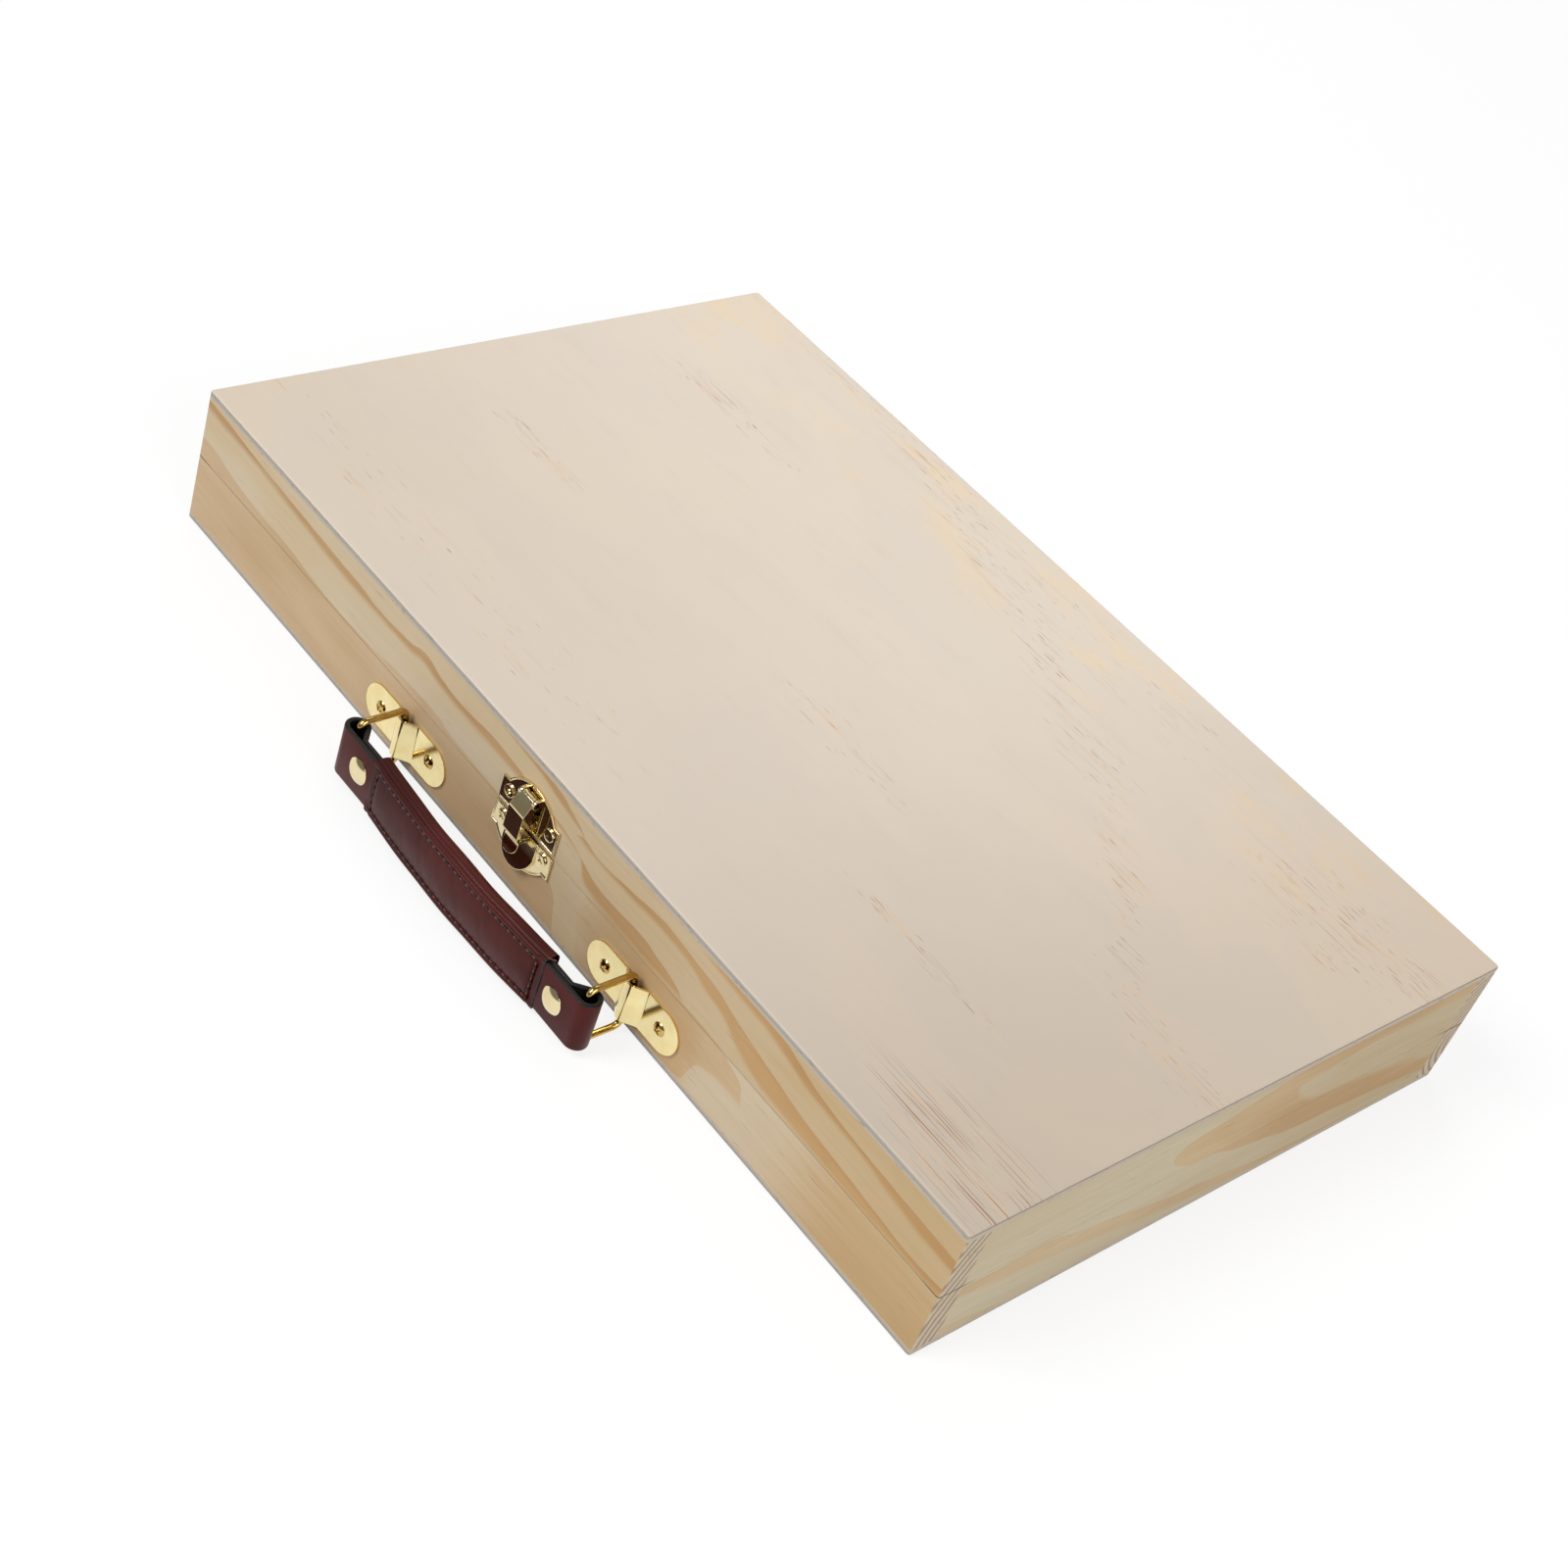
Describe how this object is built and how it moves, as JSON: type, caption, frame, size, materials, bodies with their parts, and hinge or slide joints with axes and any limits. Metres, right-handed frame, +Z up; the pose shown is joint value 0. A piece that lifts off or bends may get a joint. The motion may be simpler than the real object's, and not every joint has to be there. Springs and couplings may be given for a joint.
{
  "type": "paint box",
  "caption": "Flat hinged wooden paint box: two equal halves, a sprung brass latch, and a riveted leather carrying handle on wire rings in brass brackets.",
  "frame": {"origin": "centre of the flat underside that the box rests on", "axes": "+X along the long side, -Y out of the front face with the latch and handle, +Z up"},
  "size_m": [0.37, 0.2601, 0.05],
  "materials": {
    "plywood": "sanded birch plywood",
    "pine": "clear satin lacquer",
    "brass": "bright brass plate",
    "strap_leather": "smooth finished leather",
    "grip_leather": "padded and stitched"
  },
  "bodies": {
    "base": {"base_panel": "plywood", "base_front_board": "pine", "base_back_board": "pine", "base_left_board": "pine", "base_right_board": "pine", "long_divider": "plywood", "left_cross_divider": "plywood", "right_cross_divider": "plywood", "left_hinge_base_leaf": "brass", "right_hinge_base_leaf": "brass", "left_hinge_pin": "brass", "right_hinge_pin": "brass", "base_hinge_screws": "brass", "latch_base_plate": "brass", "base_latch_screws": "brass", "left_handle_bracket": "brass", "right_handle_bracket": "brass", "handle_bracket_screws": "brass"},
    "lid": {"lid_panel": "plywood", "lid_front_board": "pine", "lid_back_board": "pine", "lid_left_board": "pine", "lid_right_board": "pine", "left_hinge_lid_leaf": "brass", "right_hinge_lid_leaf": "brass", "lid_hinge_screws": "brass", "latch_lid_plate": "brass", "lid_latch_screws": "brass", "latch_pin": "brass"},
    "tongue": {"latch_tongue": "brass"},
    "left_ring": {"left_handle_ring": "brass"},
    "right_ring": {"right_handle_ring": "brass"},
    "handle": {"handle_strap": "strap_leather", "handle_grip": "grip_leather", "left_strap_rivet": "brass", "right_strap_rivet": "brass"}
  },
  "joints": [
    {"name": "lid_hinge", "type": "hinge", "parent": "base", "child": "lid", "pos_m": [0, 0.117, 0.025], "axis": [-1, 0, 0], "range_deg": [0, 180]},
    {"name": "latch_tongue_hinge", "type": "hinge", "parent": "lid", "child": "tongue", "pos_m": [0, -0.1174, 0.0378], "axis": [-1, 0, 0], "range_deg": [-2.5, 110]},
    {"name": "left_ring_swing", "type": "hinge", "parent": "base", "child": "left_ring", "pos_m": [-0.0583, -0.117, 0.0118], "axis": [0, 0, 1], "range_deg": [-70, 70]},
    {"name": "handle_pivot", "type": "hinge", "parent": "left_ring", "child": "handle", "pos_m": [-0.0583, -0.1338, 0.0118], "axis": [0, 0, 1], "range_deg": [-70, 70]},
    {"name": "right_ring_swing", "type": "hinge", "parent": "base", "child": "right_ring", "pos_m": [0.0583, -0.117, 0.0118], "axis": [0, 0, 1], "range_deg": [-70, 70]}
  ],
  "couplings": [
    {"joint": "handle_pivot", "follows": "left_ring_swing", "ratio": -1},
    {"joint": "right_ring_swing", "follows": "left_ring_swing", "ratio": 1}
  ]
}
